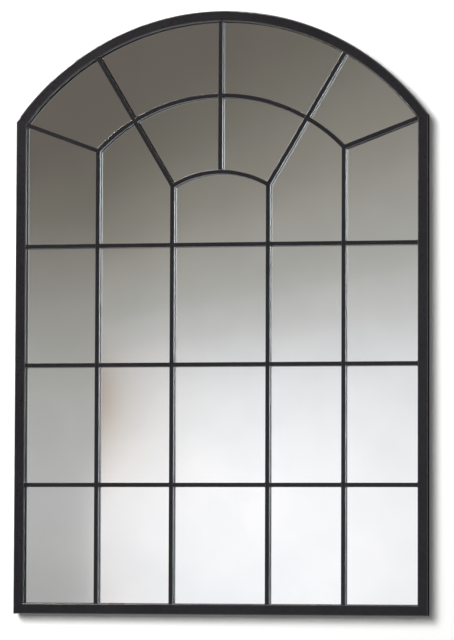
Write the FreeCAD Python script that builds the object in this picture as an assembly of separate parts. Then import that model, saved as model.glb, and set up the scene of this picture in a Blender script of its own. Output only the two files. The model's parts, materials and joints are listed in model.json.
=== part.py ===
"""Arched window-pane wall mirror: a steel frame and grille over one sheet of silvered glass.

Millimetres. X runs to the right, Y runs back to the wall, Z runs up. Every shape is drawn with the
underside of the frame at Z 0, and is then lowered so that the origin lies on the wall's face, midway
between the two wall hooks.
"""
import FreeCAD, Part
import math
import os

Vector = FreeCAD.Vector
X_AXIS = Vector(1, 0, 0)
Y_AXIS = Vector(0, 1, 0)
Z_AXIS = Vector(0, 0, 1)
SIDES = {"left": -1, "right": 1}

# Frame of square steel tube, mitred at the four corners
width = 800.0
shoulder_height = 946.0
arch_rise = 205.8
frame_face = 20.0
tube_wall = 1.5
tube_corner_radius = 2.0
tube_inner_radius = 0.5

# Grille of flat steel bar, flush with the front of the frame
bar_width = 8.0
bar_depth = 10.0
bar_edge_radius = 0.5
middle_arch_radius_share = 0.6976
inner_arch_radius_share = 0.387
middle_arch_half_angle = 46.5
inner_arch_half_angle = 30.6
lower_crossbar_height_share = 0.3014
middle_crossbar_height_share = 0.5815
upper_crossbar_height_share = 0.8613

# Glazing, from the back of the bars to the back of the frame
tape_thickness = 1.0
tape_width = 6.0
glass_thickness = 4.0
glass_edge_gap = 0.6
foam_thickness = 2.0
board_thickness = 3.0
board_edge_gap = 1.0
setting_block_length = 30.0
setting_block_place_share = 0.5

# Screws that hold the turn buttons and the hangers
screw_radius = 1.75
screw_length = 9.0
screw_head_radius = 3.5
screw_head_height = 2.0
screw_head_edge_radius = 0.8
thread_clearance = 0.03
shank_clearance = 0.15

# Turn buttons that hold the backing board in
button_width = 11.0
button_reach = 22.0
button_thickness = 1.2
button_rib_radius = 0.9
button_gap = 0.2
pivot_clearance = 0.08
pivot_inset = 8.0
lower_button_height_share = 0.22
upper_button_height_share = 0.62
rail_button_share = 0.5
head_button_angle_share = 0.5

# Strap hangers with their rings
strap_width = 11.0
strap_thickness = 1.2
strap_length = 45.0
strap_end_radius = 3.0
strap_screw_drops = (28.0, 39.0)
ring_wire_radius = 1.25
ring_leg = 5.0
ring_bend_gap = 0.35
ring_side_gap = 0.6
ring_bore_clearance = 0.05
ring_strap_gap = 0.35
ring_height_share = 0.90
hanger_wall_gap = 0.7

# Rubber bumpers that keep the lower edge off the wall
bumper_radius = 7.0
bumper_edge_radius = 1.5
bumper_place_share = 0.04

# Length by which a cutting shape passes what it cuts
overrun = 5.0

# Planes from the wall to the front
ring_bore_radius = ring_wire_radius + ring_bore_clearance
roll_radius = ring_bore_radius + strap_thickness
ring_axis_rise = strap_thickness + ring_strap_gap + ring_wire_radius
bumper_height = ring_axis_rise + roll_radius + hanger_wall_gap
frame_back = -bumper_height
board_front = frame_back - board_thickness
glass_back = board_front - foam_thickness
glass_front = glass_back - glass_thickness
bar_back = glass_front - tape_thickness
frame_front = bar_back - bar_depth

# Arches, all about one centre on the middle line
half_width = width / 2
head_radius = (half_width ** 2 + arch_rise ** 2) / (2 * arch_rise)
centre_height = shoulder_height + arch_rise - head_radius
head_inner_radius = head_radius - frame_face
middle_arch_radius = head_inner_radius * middle_arch_radius_share
inner_arch_radius = head_inner_radius * inner_arch_radius_share

# Crossbars, up to the height at which the inner arch ends
inner_arch_end_height = centre_height + inner_arch_radius * math.cos(math.radians(inner_arch_half_angle))
crossbar_heights = {
    "lower": inner_arch_end_height * lower_crossbar_height_share,
    "middle": inner_arch_end_height * middle_crossbar_height_share,
    "upper": inner_arch_end_height * upper_crossbar_height_share,
}

# Turn buttons on the stiles
button_heights = {
    "lower": shoulder_height * lower_button_height_share,
    "upper": shoulder_height * upper_button_height_share,
}

# Hangers on the middle of each stile
hanger_x = half_width - frame_face / 2
ring_bend_radius = ring_wire_radius + ring_bend_gap
ring_half_width = strap_width / 2 + ring_side_gap + ring_bend_radius
ring_axis_height = shoulder_height * ring_height_share
ring_axis_y = frame_back + ring_axis_rise
hook_height = ring_axis_height + ring_leg + ring_half_width - ring_wire_radius


def point(x, z, y=0.0):
    """A point of the front view, at depth y."""
    return Vector(x, y, z)


def flip(spot, side):
    """A point of the right half, or its image in the left half where side is negative."""
    return point(spot.x * side, spot.z)


def heading(angle):
    """A unit vector of the front view at this angle, counted from X towards Z."""
    return point(math.cos(math.radians(angle)), math.sin(math.radians(angle)))


def angle_to(start, end):
    """The angle of the way from one spot to another, counted from X towards Z."""
    return math.degrees(math.atan2(end.z - start.z, end.x - start.x))


def on_arch(radius, angle):
    """The point of an arch at this angle from the middle line, positive to the right."""
    return point(0, centre_height) + heading(90 - angle) * radius


def polygon(points):
    """A closed face through points of the front view."""
    return Part.Face(Part.makePolygon(points + points[:1]))


def prism(face, front, back):
    """A face of the front view as a solid from one depth to another."""
    return face.translated(Vector(0, front, 0)).extrude(Vector(0, back - front, 0))


def shoulder(inset):
    """The right shoulder of the frame's outline, moved in by inset."""
    x = half_width - inset
    return point(x, centre_height + math.sqrt((head_radius - inset) ** 2 - x ** 2))


def arched_face(inset):
    """The frame's outline moved in by inset: a straight foot and sides under a round head."""
    right = shoulder(inset)
    left = flip(right, -1)
    foot_left = point(left.x, inset)
    foot_right = point(right.x, inset)
    edges = [
        Part.makeLine(left, foot_left),
        Part.makeLine(foot_left, foot_right),
        Part.makeLine(foot_right, right),
        Part.Arc(right, on_arch(head_radius - inset, 0), left).toShape(),
    ]
    return Part.Face(Part.Wire(edges))


def rounded_outline(place, inset, radius):
    """The tube's section moved in by inset, where place puts (inward, depth) into space."""
    near, far = inset, frame_face - inset
    front, back = frame_front + inset, frame_back - inset
    cut = radius * (1 - math.sqrt(0.5))
    corners = [
        ((near, front + radius), (near + cut, front + cut), (near + radius, front)),
        ((far - radius, front), (far - cut, front + cut), (far, front + radius)),
        ((far, back - radius), (far - cut, back - cut), (far - radius, back)),
        ((near + radius, back), (near + cut, back - cut), (near, back - radius)),
    ]
    edges = []
    for corner, following in zip(corners, corners[1:] + corners[:1]):
        start, middle, end = (place(*spot) for spot in corner)
        edges.append(Part.Arc(start, middle, end).toShape())
        edges.append(Part.makeLine(end, place(*following[0])))
    return Part.Wire(edges)


def tube_section(place):
    """The hollow section of the frame's tube."""
    outside = Part.Face(rounded_outline(place, 0, tube_corner_radius))
    return outside.cut(Part.Face(rounded_outline(place, tube_wall, tube_inner_radius)))


def mitre(outer, inner):
    """Two points well outside and well inside the frame, on the mitre through a corner."""
    return outer * 2 - inner, inner * 2 - outer


def build_frame():
    """The bottom rail, the two stiles and the arched head, each cut along its mitres."""
    foot_out, foot_in = mitre(point(half_width, 0), point(half_width - frame_face, frame_face))
    top_out, top_in = mitre(shoulder(0), shoulder(frame_face))
    depths = (frame_front - overrun, frame_back + overrun)
    centre = point(0, centre_height)
    sky = shoulder_height + arch_rise + frame_face

    rail = tube_section(lambda inward, depth: Vector(-width, depth, inward)).extrude(X_AXIS * width * 2)
    rail_room = polygon([flip(foot_out, -1), flip(foot_in, -1), foot_in, foot_out])
    members = {"bottom_rail": rail.common(prism(rail_room, *depths))}
    for name, side in SIDES.items():
        post = tube_section(lambda inward, depth: Vector(side * (half_width - inward), depth, -frame_face))
        post = post.extrude(Z_AXIS * (shoulder_height + arch_rise))
        room = [flip(spot, side) for spot in (foot_out, foot_in, top_in, top_out)]
        members[name + "_stile"] = post.common(prism(polygon(room), *depths))
    bow = tube_section(lambda inward, depth: Vector(0, depth, centre_height + head_radius - inward))
    bow.rotate(centre, Y_AXIS, -90)
    bow = bow.revolve(centre, Y_AXIS, 180)
    bow_room = [flip(top_out, -1), flip(top_in, -1), top_in, top_out, point(width, sky), point(-width, sky)]
    members["arched_head"] = bow.common(prism(polygon(bow_room), *depths))
    return members


def straight_face(start, end, across):
    """The front view of a straight strip about its middle line."""
    along = (end - start).normalize()
    aside = Vector(along.z, 0, -along.x) * (across / 2)
    return polygon([start + aside, end + aside, end - aside, start - aside])


def arch_face(radius, half_angle, across):
    """The front view of a strip along an arch, which passes its end points by half its width."""
    reach = half_angle + math.degrees(across / 2 / radius)
    outer, inner = radius + across / 2, radius - across / 2
    edges = [
        Part.Arc(on_arch(outer, -reach), on_arch(outer, 0), on_arch(outer, reach)).toShape(),
        Part.makeLine(on_arch(outer, reach), on_arch(inner, reach)),
        Part.Arc(on_arch(inner, reach), on_arch(inner, 0), on_arch(inner, -reach)).toShape(),
        Part.makeLine(on_arch(inner, -reach), on_arch(outer, -reach)),
    ]
    return Part.Face(Part.Wire(edges))


def grille_faces(across):
    """The front view of every bar of the grille at this width, each run past what it meets."""
    inner_end = on_arch(inner_arch_radius, inner_arch_half_angle)
    middle_end = on_arch(middle_arch_radius, middle_arch_half_angle)
    faces = {
        "middle_arch": arch_face(middle_arch_radius, middle_arch_half_angle, across),
        "inner_arch": arch_face(inner_arch_radius, inner_arch_half_angle, across),
        "centre_spoke": straight_face(on_arch(inner_arch_radius, 0), on_arch(head_radius, 0), across),
    }
    for name, level in crossbar_heights.items():
        faces[name + "_crossbar"] = straight_face(point(-half_width, level), point(half_width, level), across)
    past = across / 2
    for name, side in SIDES.items():
        outer, inner, corner = (flip(spot, side) for spot in (middle_end, inner_end, shoulder(frame_face)))
        radial = (inner - point(0, centre_height)).normalize()
        outward = (corner - outer).normalize()
        rim = point(0, centre_height) + radial * head_radius
        hidden = corner + outward * frame_face
        faces["outer_mullion_" + name] = straight_face(point(outer.x, 0), outer + Z_AXIS * past, across)
        faces["inner_mullion_" + name] = straight_face(point(inner.x, 0), inner + Z_AXIS * past, across)
        faces["oblique_spoke_" + name] = straight_face(inner - radial * past, rim, across)
        faces["shoulder_spoke_" + name] = straight_face(outer - outward * past, hidden, across)
    return faces


def eased(blank):
    """A bar with its two long front edges rounded."""
    long_edges = []
    for edge in blank.Edges:
        if edge.BoundBox.YMax < frame_front + bar_depth / 2 and edge.Length > bar_width * 2:
            long_edges.append(edge)
    return blank.makeFillet(min(bar_edge_radius, bar_width / 3), long_edges)


def halve_crossings(solids, blanks):
    """Cut each crossing pair to half its depth: the first of a pair passes in front."""
    mullions = [place + "_mullion_" + name for place in ("outer", "inner") for name in SIDES]
    crossings = [(mullion, name + "_crossbar") for mullion in mullions for name in crossbar_heights]
    spokes = ["centre_spoke"] + ["oblique_spoke_" + name for name in SIDES]
    crossings += [(spoke, "middle_arch") for spoke in spokes]
    middle = frame_front + bar_depth / 2
    top = shoulder_height + width
    everywhere = polygon([point(-width, -width), point(width, -width), point(width, top), point(-width, top)])
    front_half = prism(everywhere, frame_front - overrun, middle)
    rear_half = prism(everywhere, middle, bar_back + overrun)
    for over, under in crossings:
        solids[over] = solids[over].cut(blanks[under].common(rear_half))
        solids[under] = solids[under].cut(blanks[over].common(front_half))


def meet(solids, spot, headings):
    """Mitre the bars that leave one spot, so that each keeps the wedge up to its neighbours."""
    angles = {name: angle % 360 for name, angle in headings.items()}
    names = sorted(angles, key=angles.get)
    reach = bar_width * 3
    front, back = frame_front - overrun, bar_back + overrun
    for index, name in enumerate(names):
        own = angles[name]
        before = angles[names[index - 1]] - (360 if index == 0 else 0)
        after = angles[names[(index + 1) % len(names)]] + (360 if name == names[-1] else 0)
        wedge = polygon([
            spot,
            spot + heading((before + own) / 2) * reach * 2,
            spot + heading(own) * reach * 3,
            spot + heading((own + after) / 2) * reach * 2,
        ])
        disc = Part.makeCylinder(reach, back - front, spot + Y_AXIS * front, Y_AXIS)
        solids[name] = solids[name].cut(disc.cut(prism(wedge, front, back)))


def build_grille():
    """The mullions, crossbars, arches and spokes, halved where they cross and mitred where they meet."""
    blanks = {name: prism(face, frame_front, bar_back) for name, face in grille_faces(bar_width).items()}
    solids = {name: eased(blank) for name, blank in blanks.items()}
    solids["centre_spoke"] = solids["centre_spoke"].cut(blanks["inner_arch"])
    halve_crossings(solids, blanks)
    for name, side in SIDES.items():
        outer = flip(on_arch(middle_arch_radius, middle_arch_half_angle), side)
        inner = flip(on_arch(inner_arch_radius, inner_arch_half_angle), side)
        meet(solids, outer, {
            "outer_mullion_" + name: -90,
            "shoulder_spoke_" + name: angle_to(outer, flip(shoulder(frame_face), side)),
            "middle_arch": 90 + side * (90 - middle_arch_half_angle),
        })
        meet(solids, inner, {
            "inner_mullion_" + name: -90,
            "oblique_spoke_" + name: 90 - side * inner_arch_half_angle,
            "inner_arch": 90 + side * (90 - inner_arch_half_angle),
        })
    opening = prism(arched_face(frame_face), frame_front, bar_back)
    return {name: solid.common(opening) for name, solid in solids.items()}


def build_glazing():
    """The tape behind the bars, the glass on its setting blocks, the foam pad and the backing board."""
    strips = [prism(face, bar_back, glass_front) for face in grille_faces(tape_width).values()]
    tape = strips[0].multiFuse(strips[1:]).removeSplitter()
    sheet = arched_face(frame_face + glass_edge_gap)
    blocks = []
    for side in SIDES.values():
        middle = side * half_width * setting_block_place_share
        corner = Vector(middle - setting_block_length / 2, glass_front, frame_face)
        blocks.append(Part.makeBox(setting_block_length, glass_thickness, glass_edge_gap, corner))
    return {
        "bedding_tape": tape.common(prism(arched_face(frame_face), bar_back, glass_front)),
        "mirror_glass": prism(sheet, glass_front, glass_back),
        "foam_pad": prism(sheet, glass_back, board_front),
        "backing_board": prism(arched_face(frame_face + board_edge_gap), board_front, frame_back),
        "setting_blocks": Part.makeCompound(blocks),
    }


def rear_rim(shape):
    """The edges of a round piece that lie in its rear plane."""
    return [edge for edge in shape.Edges if edge.BoundBox.YMin > shape.BoundBox.Center.y]


def build_screw(seat, spot):
    """A pan-head screw whose head bears at depth seat and whose shank runs forward into the frame."""
    place = point(spot.x, spot.z, seat)
    head = Part.makeCylinder(screw_head_radius, screw_head_height, place, Y_AXIS)
    head = head.makeFillet(min(screw_head_edge_radius, screw_head_height / 2), rear_rim(head))
    return head.fuse(Part.makeCylinder(screw_radius, screw_length, place, -Y_AXIS)).removeSplitter()


def button_places():
    """Where each turn button pivots on the frame, and the way that it points when it is closed."""
    places = {}
    pivot_x = half_width - frame_face + pivot_inset
    head_half_angle = math.degrees(math.asin(half_width / head_radius))
    for name, side in SIDES.items():
        for level, height in button_heights.items():
            places["turn_button_" + name + "_" + level] = (point(side * pivot_x, height), X_AXIS * -side)
        spot = point(side * half_width * rail_button_share, frame_face - pivot_inset)
        places["turn_button_bottom_" + name] = (spot, Z_AXIS)
        spot = on_arch(head_inner_radius + pivot_inset, side * head_half_angle * head_button_angle_share)
        places["turn_button_head_" + name] = (spot, (point(0, centre_height) - spot).normalize())
    return places


def build_button(spot, inward):
    """A turn button, round at both ends, with a pressed rib along its arm."""
    half = button_width / 2
    tip = button_reach - half
    edges = [
        bend_arc(point(0, 0), half, 180, 360),
        Part.makeLine(point(half, 0), point(half, tip)),
        bend_arc(point(0, tip), half, 0, 180),
        Part.makeLine(point(-half, tip), point(-half, 0)),
    ]
    outline = Part.Face(Part.Wire(edges))
    front = frame_back + button_gap
    rear = front + button_thickness
    rib_start = screw_head_radius + button_rib_radius * 2
    rib_end = max(tip, rib_start + button_rib_radius)
    rib_depth = rear - button_rib_radius / 3
    rib = Part.makeCylinder(button_rib_radius, rib_end - rib_start, point(0, rib_start, rib_depth), Z_AXIS)
    for end in (rib_start, rib_end):
        rib = rib.fuse(Part.makeSphere(button_rib_radius, point(0, end, rib_depth)))
    button = prism(outline, front, rear).fuse(rib.common(prism(outline, front, rear + overrun)))
    start = point(0, 0, front - overrun)
    hole = Part.makeCylinder(screw_radius + pivot_clearance, overrun * 2, start, Y_AXIS)
    button = button.cut(hole).removeSplitter()
    button.rotate(Vector(), Y_AXIS, math.degrees(math.atan2(inward.x, inward.z)))
    return button.translated(spot)


def build_strap(x):
    """A hanger strap on the back of a stile, rolled round its ring at the top."""
    low = Vector(x - strap_width / 2, frame_back, ring_axis_height - strap_length)
    plate = Part.makeBox(strap_width, strap_thickness, strap_length, low)
    ends = []
    for edge in plate.Edges:
        if edge.BoundBox.ZMax < low.z + strap_length / 2 and edge.BoundBox.YLength > strap_thickness / 2:
            ends.append(edge)
    plate = plate.makeFillet(min(strap_end_radius, strap_width / 3), ends)
    axis_start = Vector(low.x, ring_axis_y, ring_axis_height)
    strap = plate.fuse(Part.makeCylinder(roll_radius, strap_width, axis_start, X_AXIS)).removeSplitter()
    bore_start = axis_start - X_AXIS * overrun
    strap = strap.cut(Part.makeCylinder(ring_bore_radius, strap_width + overrun * 2, bore_start, X_AXIS))
    for drop in strap_screw_drops:
        start = point(x, ring_axis_height - drop, frame_back - overrun)
        strap = strap.cut(Part.makeCylinder(screw_radius + shank_clearance, overrun * 2, start, Y_AXIS))
    return strap


def bend_arc(centre, radius, first, last):
    """An arc of the front view from one angle to another, counted from X towards Z."""
    spots = [centre + heading(angle) * radius for angle in (first, (first + last) / 2, last)]
    return Part.Arc(*spots).toShape()


def build_ring(x):
    """A wire D-ring hanging from its strap: a straight top, two bends, two legs and a round end."""
    side, bend = ring_half_width, ring_bend_radius
    leg_end = -max(ring_leg, bend + ring_wire_radius)
    edges = [
        Part.makeLine(point(bend - side, 0), point(side - bend, 0)),
        bend_arc(point(side - bend, -bend), bend, 90, 0),
        Part.makeLine(point(side, -bend), point(side, leg_end)),
        bend_arc(point(0, leg_end), side, 0, -180),
        Part.makeLine(point(-side, leg_end), point(-side, -bend)),
        bend_arc(point(bend - side, -bend), bend, 180, 90),
    ]
    pieces = []
    for edge in edges:
        start = edge.valueAt(edge.FirstParameter)
        circle = Part.makeCircle(ring_wire_radius, start, edge.tangentAt(edge.FirstParameter))
        pieces.append(Part.Wire(edge).makePipeShell([Part.Wire(circle)], True, False))
    ring = pieces[0].multiFuse(pieces[1:]).removeSplitter()
    return ring.translated(point(x, ring_axis_height, ring_axis_y))


def build_bumper(x):
    """A rubber bumper on the back of a stile, its rear rim rounded."""
    foot = point(x, shoulder_height * bumper_place_share, frame_back)
    bumper = Part.makeCylinder(bumper_radius, bumper_height, foot, Y_AXIS)
    return bumper.makeFillet(min(bumper_edge_radius, bumper_height / 3), rear_rim(bumper))


def drill(members, spots):
    """Drill the back wall of each frame member that lies under a screw."""
    depth = tube_wall + overrun
    for spot in spots:
        start = point(spot.x, spot.z, frame_back - depth)
        hole = Part.makeCylinder(screw_radius + thread_clearance, depth + overrun, start, Y_AXIS)
        for name in members:
            if members[name].BoundBox.intersect(hole.BoundBox):
                members[name] = members[name].cut(hole)


def build_hardware(members):
    """The turn buttons, hangers, rings, bumpers and their screws, with the frame drilled for them."""
    places = button_places()
    nodes = {name: build_button(spot, inward) for name, (spot, inward) in places.items()}
    pivots = [spot for spot, inward in places.values()]
    button_seat = frame_back + button_gap * 2 + button_thickness
    nodes["turn_button_screws"] = Part.makeCompound([build_screw(button_seat, spot) for spot in pivots])
    fixings = []
    for name, side in SIDES.items():
        x = side * hanger_x
        nodes["hanger_strap_" + name] = build_strap(x)
        nodes["hanger_ring_" + name] = build_ring(x)
        nodes["wall_bumper_" + name] = build_bumper(x)
        fixings += [point(x, ring_axis_height - drop) for drop in strap_screw_drops]
    strap_seat = frame_back + strap_thickness
    nodes["hanger_screws"] = Part.makeCompound([build_screw(strap_seat, spot) for spot in fixings])
    drill(members, pivots + fixings)
    return nodes


def export(nodes):
    """Lower each node to the hooks' height and write it as one file."""
    os.makedirs("parts", exist_ok=True)
    for name, shape in nodes.items():
        piece = shape.Solids[0] if len(shape.Solids) == 1 else shape
        piece.translated(point(0, -hook_height)).exportStep("parts/" + name + ".step")


def main():
    """Build every sub-part of the mirror and write it."""
    members = build_frame()
    nodes = build_hardware(members)
    nodes.update(members)
    nodes.update(build_grille())
    nodes.update(build_glazing())
    export(nodes)


main()
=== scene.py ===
"""Arched window-pane wall mirror: its finishes, fine pieces, room, light and camera around the CAD frame.

Metres, in the CAD model's own frame: X to the right, Y back to the wall, Z up, with the origin on the
wall's face, midway between the two wall hooks.
"""
import json
import logging
import math
from collections.abc import Sequence
from dataclasses import dataclass, field
from enum import Enum
from typing import Any, ClassVar

import bmesh
import bpy
from bmesh.types import BMesh, BMVert
from bpy.types import Material, Mesh, Node, NodeSocket, NodeTree, Object
from mathutils import Matrix, Vector


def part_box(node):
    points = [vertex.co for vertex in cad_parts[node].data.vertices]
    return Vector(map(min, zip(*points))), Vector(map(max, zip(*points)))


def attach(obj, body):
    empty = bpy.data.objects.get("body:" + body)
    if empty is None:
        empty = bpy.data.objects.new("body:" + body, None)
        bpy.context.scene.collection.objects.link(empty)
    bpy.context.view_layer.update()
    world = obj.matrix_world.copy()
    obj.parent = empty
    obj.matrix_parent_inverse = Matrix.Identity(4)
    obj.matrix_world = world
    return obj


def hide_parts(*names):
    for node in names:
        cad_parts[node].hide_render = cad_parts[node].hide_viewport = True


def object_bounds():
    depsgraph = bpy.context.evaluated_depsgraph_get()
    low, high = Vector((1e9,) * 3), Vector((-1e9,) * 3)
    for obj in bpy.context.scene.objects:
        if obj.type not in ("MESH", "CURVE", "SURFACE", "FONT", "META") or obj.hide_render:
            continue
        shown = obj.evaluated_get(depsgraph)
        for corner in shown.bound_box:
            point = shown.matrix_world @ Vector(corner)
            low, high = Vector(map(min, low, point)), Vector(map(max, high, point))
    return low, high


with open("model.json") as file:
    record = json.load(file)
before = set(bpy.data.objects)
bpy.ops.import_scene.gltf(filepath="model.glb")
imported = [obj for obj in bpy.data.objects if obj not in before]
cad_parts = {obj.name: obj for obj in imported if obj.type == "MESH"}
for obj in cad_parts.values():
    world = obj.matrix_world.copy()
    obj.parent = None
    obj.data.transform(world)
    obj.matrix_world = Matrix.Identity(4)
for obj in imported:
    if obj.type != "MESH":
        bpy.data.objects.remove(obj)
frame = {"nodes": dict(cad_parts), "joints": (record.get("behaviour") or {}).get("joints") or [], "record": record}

Pair = tuple[float, float]
Triple = tuple[float, float, float]
# The places and hex colours along a colour ramp.
Stops = tuple[tuple[float, str], ...]

LOG = logging.getLogger("wall_mirror")
CAD_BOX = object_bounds()
MM = 0.001
WHITE = (1.0, 1.0, 1.0, 1.0)
LEFT_AND_RIGHT = (-1, 1)
# The ways that bars leave a joint, in degrees from X towards Z.
TEE = (0, 90, 180)
CROSSING = (0, 90, 180, 270)
# Edges sharper than this many degrees stay sharp.
SMOOTH_ANGLE = 35.0


class Body(Enum):
    """The CAD body that the new pieces ride on."""

    FRAME = "frame"


class Slot(Enum):
    """The record's material slots."""

    COAT = "black_powder_coat"
    GLASS = "silvered_glass"
    FOAM = "closed_cell_foam"
    BOARD = "backing_board"
    ZINC = "zinc_plated_steel"
    RUBBER = "black_rubber"


class SheetFace(Enum):
    """The faces of the mirror sheet, by the number of their finish."""

    FRONT = 0
    BACK = 1
    EDGE = 2


class Sight(Enum):
    """The kinds of ray that see a stage piece."""

    CAMERA = "visible_camera"
    DIFFUSE = "visible_diffuse"
    GLOSSY = "visible_glossy"
    TRANSMISSION = "visible_transmission"
    SHADOW = "visible_shadow"


def linear(code: str) -> tuple[float, float, float, float]:
    """Turn an sRGB hex value into a linear colour.

    Args:
        code: the colour as "#rrggbb".

    Returns:
        Red, green, blue and an alpha of 1.
    """
    parts = [int(code[start:start + 2], 16) / 255 for start in (1, 3, 5)]
    red, green, blue = (p / 12.92 if p <= 0.04045 else ((p + 0.055) / 1.055) ** 2.4 for p in parts)
    return red, green, blue, 1.0


def per_metre(size_mm: float) -> float:
    """The texture scale at which a pattern repeats every size_mm millimetres."""
    return 1 / (size_mm * MM)


def feed(tree: NodeTree, node: Node, inputs: dict[Any, Any]) -> None:
    """Link or set the sockets of a node.

    Args:
        tree: the node tree that holds the node.
        node: the node.
        inputs: what goes into its sockets, by name or number: a node, for the first output that it has in
            use, or one of its outputs, or a value.
    """
    for key, value in inputs.items():
        if isinstance(value, Node):
            value = next(output for output in value.outputs if output.enabled)
        if isinstance(value, NodeSocket):
            tree.links.new(value, node.inputs[key])
        else:
            node.inputs[key].default_value = value


def add_node(tree: NodeTree, kind: str, inputs: dict[Any, Any] | None = None,
             stops: Stops = (), **settings: Any) -> Node:
    """Add a shader node with its settings and links.

    Args:
        tree: the node tree that takes the node.
        kind: the node's type, without the words that all shader nodes start with.
        inputs: what goes into its sockets, as in feed.
        stops: the places and hex colours of a colour ramp.
        settings: the node's own properties.

    Returns:
        The new node.
    """
    node = tree.nodes.new("ShaderNode" + kind)
    for name, value in settings.items():
        setattr(node, name, value)
    feed(tree, node, inputs or {})
    for index, (place, code) in enumerate(stops):
        marks = node.color_ramp.elements
        mark = marks[index] if index < len(marks) else marks.new(place)
        mark.position = place
        mark.color = linear(code)
    return node


def blank_material(name: str) -> tuple[Material, NodeTree]:
    """Make a material without nodes.

    Args:
        name: the material's name.

    Returns:
        The material and its node tree.
    """
    made = bpy.data.materials.new(name)
    made.use_nodes = True
    made.node_tree.nodes.clear()
    return made, made.node_tree


@dataclass(frozen=True)
class Grain:
    """An uneven pattern: the size of its lumps in millimetres, and how it goes on in finer ones."""

    size_mm: float
    detail: float = 2.0
    roughness: float = 0.5
    distortion: float = 0.0

    def inputs(self, place: NodeSocket) -> dict[str, Any]:
        """What goes into a noise texture that shows this grain at a place."""
        return {"Vector": place, "Scale": per_metre(self.size_mm), "Detail": self.detail,
                "Roughness": self.roughness, "Distortion": self.distortion}


@dataclass(frozen=True)
class Finish:
    """What a surface is made of. A kind of finish adds its own sizes and draws its own nodes."""

    name: str

    def draw(self, tree: NodeTree, shader: Node) -> None:
        """Set the shader and link the textures that drive it.

        Args:
            tree: the material's node tree.
            shader: its principled shader.
        """
        raise NotImplementedError

    def material(self) -> Material:
        """Make the finish's material, once.

        Returns:
            The material, or the one that was made before.
        """
        found = bpy.data.materials.get(self.name)
        if found is not None:
            return found
        made, tree = blank_material(self.name)
        shader = add_node(tree, "BsdfPrincipled")
        add_node(tree, "OutputMaterial", {"Surface": shader})
        self.draw(tree, shader)
        return made


@dataclass(frozen=True)
class PowderCoat(Finish):
    """Polyester powder sprayed on steel and baked: a near-black satin skin with a faint orange peel.

    It gives the eye an even dark face, pale streaks only where it is seen at a low angle, and shinier
    edges where the powder is thinner. Their lighter colour is partly the thinner powder and partly a
    painted edge highlight. An edge is what faces neither the front nor a side.
    The peel is about 1.5 mm in truth, and is drawn coarser so that it shows.
    """

    name: str = "powder_coat_on_steel"
    tones: Stops = ((0.12, "#0f0d10"), (0.42, "#191619"))
    # The edge colour is partly the thinner powder's own colour and partly a painted edge highlight.
    worn_edge_and_sheen: str = "#363337"
    cloud: Grain = Grain(55.0, detail=4.0, roughness=0.6)
    peel: Grain = Grain(5.0, detail=3.0, roughness=0.55)
    peel_span: Pair = (0.3, 0.7)
    peel_depth_mm: float = 0.05
    peel_strength: float = 0.05
    side_facing: Pair = (0.05, 0.25)
    front_facing: Pair = (0.93, 0.995)
    roughness: Pair = (0.27, 0.31)
    specular: float = 0.21
    edge_specular: float = 1.0

    def edge(self, tree: NodeTree) -> Node:
        """Find the edges, by how far the surface faces along Y.

        Args:
            tree: the material's node tree.

        Returns:
            A node that gives 1 on an edge, and 0 on a front, a back or a side.
        """
        way = add_node(tree, "SeparateXYZ", {0: add_node(tree, "NewGeometry").outputs["Normal"]})
        facing = add_node(tree, "Math", {0: way.outputs["Y"]}, operation="ABSOLUTE")
        off_side, off_front = (
            add_node(tree, "MapRange", {"Value": facing, "From Min": start, "From Max": end})
            for start, end in (self.side_facing, reversed(self.front_facing)))
        return add_node(tree, "Math", {0: off_side, 1: off_front}, operation="MULTIPLY")

    def draw(self, tree: NodeTree, shader: Node) -> None:
        """Lay clouds and peel over the coat, and lighter edges: thinner powder and a painted edge highlight.

        Args:
            tree: the material's node tree.
            shader: its principled shader.
        """
        place = add_node(tree, "TexCoord").outputs["Object"]
        cloud = add_node(tree, "TexNoise", self.cloud.inputs(place))
        peel = add_node(tree, "TexNoise", self.peel.inputs(place))
        both = add_node(tree, "Math", {0: cloud, 1: peel}, operation="MULTIPLY")
        tone = add_node(tree, "ValToRGB", {"Fac": both}, self.tones)
        edge = self.edge(tree)
        # Edges lighter in colour: partly thinner powder, partly a painted edge highlight.
        thinner_edge_and_sheen = add_node(tree, "Math", {0: edge, 1: peel}, operation="MULTIPLY")
        colour = add_node(tree, "Mix", {"Factor": thinner_edge_and_sheen, "A": tone, "B": linear(self.worn_edge_and_sheen)}, data_type="RGBA")
        rough = add_node(tree, "MapRange",
                         {"Value": peel, "From Min": self.peel_span[0], "From Max": self.peel_span[1],
                          "To Min": self.roughness[0], "To Max": self.roughness[1]})
        shine = add_node(tree, "MapRange",
                         {"Value": edge, "To Min": self.specular, "To Max": self.edge_specular})
        bump = add_node(tree, "Bump", {"Height": peel, "Strength": self.peel_strength,
                                       "Distance": self.peel_depth_mm * MM})
        feed(tree, shader, {"Base Color": colour, "Roughness": rough, "Specular IOR Level": shine,
                            "Normal": bump})


@dataclass(frozen=True)
class FloatGlass(Finish):
    """Clear float glass, fire-polished on its faces: it shows what lies behind it, under a thin gloss."""

    name: str = "clear_float_glass"
    tint: str = "#fcfdfd"
    ior: float = 1.52

    def draw(self, tree: NodeTree, shader: Node) -> None:
        """Set a smooth, clear glass."""
        feed(tree, shader, {"Base Color": linear(self.tint), "Roughness": 0.0, "IOR": self.ior,
                            "Transmission Weight": 1.0})


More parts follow.
